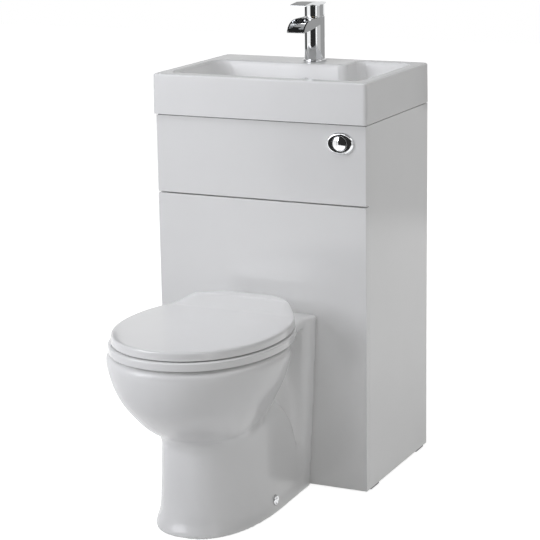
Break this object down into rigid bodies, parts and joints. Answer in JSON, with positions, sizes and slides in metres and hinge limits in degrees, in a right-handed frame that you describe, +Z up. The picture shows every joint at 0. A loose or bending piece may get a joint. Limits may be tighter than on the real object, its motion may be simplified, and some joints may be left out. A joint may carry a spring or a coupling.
{
  "type": "toilet and basin combination unit",
  "caption": "Space-saving bathroom cabinet that hides a cistern, with a ceramic basin and waterfall mixer tap on top and a back-to-wall toilet pan with seat and lid in front.",
  "frame": {"origin": "on the floor, below the centre of the whole unit (bounding box bottom centre)", "axes": "+X to the right seen from the front, +Y towards the wall, +Z up"},
  "size_m": [0.5016, 0.862, 1.031],
  "materials": {
    "white_board": "gloss white lacquered board",
    "carcass_board": "white melamine-faced board, matt",
    "zinc_steel": "zinc plated steel",
    "spring_steel": "bright spring wire",
    "clip_plastic": "grey moulded plastic",
    "glide_plastic": "dark grey moulded plastic",
    "sealant": "grey silicone strip",
    "ceramic": "white glaze, gloss",
    "chrome": "polished chrome plate",
    "white_plastic": "white moulded plastic",
    "cartridge": "grey moulded plastic",
    "brass": "machined brass",
    "braided_hose": "braided steel over rubber",
    "tank_plastic": "white moulded plastic, matt",
    "valve_plastic": "blue moulded plastic",
    "float_plastic": "orange moulded plastic",
    "seal_rubber": "black rubber",
    "seat_plastic": "white moulded seat plastic, gloss",
    "buffer_rubber": "off-white rubber"
  },
  "bodies": {
    "cabinet": {"side_panel_left": "white_board", "side_panel_right": "white_board", "upper_front_panel": "white_board", "lower_front_panel": "white_board", "top_rear_rail": "carcass_board", "middle_front_rail": "carcass_board", "base_front_rail": "carcass_board", "cistern_shelf": "carcass_board", "wall_brackets": "zinc_steel", "cam_fasteners": "zinc_steel", "panel_clips": "clip_plastic", "glides": "glide_plastic", "basin_seal": "sealant", "basin": "ceramic", "overflow_trim": "chrome", "waste_flange": "chrome", "waste_nut": "clip_plastic", "trap_body": "white_plastic", "trap_cup": "white_plastic", "trap_nuts": "white_plastic", "trap_outlet_pipe": "white_plastic", "tap_body": "chrome", "tap_cartridge": "cartridge", "tap_stud": "brass", "tap_backplate": "zinc_steel", "tap_nut": "brass", "hot_tail": "braided_hose", "cold_tail": "braided_hose", "tail_clips": "white_plastic", "cistern_tank": "tank_plastic", "cistern_lid": "tank_plastic", "flush_valve_body": "valve_plastic", "inlet_valve": "white_plastic", "inlet_hose": "braided_hose", "outlet_nut": "clip_plastic", "flush_pipe": "white_plastic", "button_bezel": "chrome", "button_sleeve": "clip_plastic", "full_flush_spring": "spring_steel", "half_flush_spring": "spring_steel", "air_tube": "seal_rubber", "pan": "ceramic", "pan_seals": "seal_rubber", "pan_connector": "white_plastic", "floor_brackets": "white_plastic", "side_fixings": "chrome", "hinge_posts": "chrome", "hinge_nuts": "white_plastic"},
    "seat": {"seat": "seat_plastic", "seat_buffers": "buffer_rubber"},
    "lid": {"lid": "seat_plastic", "lid_buffers": "buffer_rubber"},
    "lever_pivot": {"tap_spindle": "brass"},
    "lever": {"tap_lever": "chrome"},
    "flush_piston": {"flush_valve_piston": "white_plastic", "flush_seal": "seal_rubber"},
    "full_button": {"full_flush_button": "chrome"},
    "half_button": {"half_flush_button": "chrome"},
    "float": {"float_arm": "float_plastic"},
    "plug": {"waste_plug": "chrome"}
  },
  "joints": [
    {"name": "seat_lift", "type": "hinge", "parent": "cabinet", "child": "seat", "pos_m": [0, 0, 0.412], "axis": [-1, 0, 0], "range_deg": [0, 96]},
    {"name": "lid_lift", "type": "hinge", "parent": "seat", "child": "lid", "pos_m": [0, 0, 0.412], "axis": [1, 0, 0], "range_deg": [-96, 0]},
    {"name": "lever_swivel", "type": "hinge", "parent": "cabinet", "child": "lever_pivot", "pos_m": [0, 0.367, 1.003], "axis": [0, 0, 1], "range_deg": [-45, 45]},
    {"name": "lever_lift", "type": "hinge", "parent": "lever_pivot", "child": "lever", "pos_m": [0, 0.367, 1.003], "axis": [-1, 0, 0], "range_deg": [0, 18]},
    {"name": "valve_lift", "type": "slide", "parent": "cabinet", "child": "flush_piston", "axis": [0, 0, 1], "range_m": [0, 0.02], "stiffness_N_per_m": 60, "springref_m": -0.01},
    {"name": "full_flush_press", "type": "slide", "parent": "cabinet", "child": "full_button", "axis": [0, 1, 0], "range_m": [0, 0.004], "deforming": ["full_flush_spring"]},
    {"name": "half_flush_press", "type": "slide", "parent": "cabinet", "child": "half_button", "axis": [0, 1, 0], "range_m": [0, 0.004], "stiffness_N_per_m": 600, "springref_m": -0.002, "deforming": ["half_flush_spring"]},
    {"name": "float_rise", "type": "hinge", "parent": "cabinet", "child": "float", "pos_m": [-0.14, 0.348, 0.621], "axis": [0, -1, 0], "range_deg": [0, 25]},
    {"name": "plug_press", "type": "slide", "parent": "cabinet", "child": "plug", "axis": [0, 0, 1], "range_m": [-0.008, 0]}
  ],
  "couplings": [
    {"joint": "full_flush_press", "follows": "valve_lift", "ratio": 0.2}
  ]
}
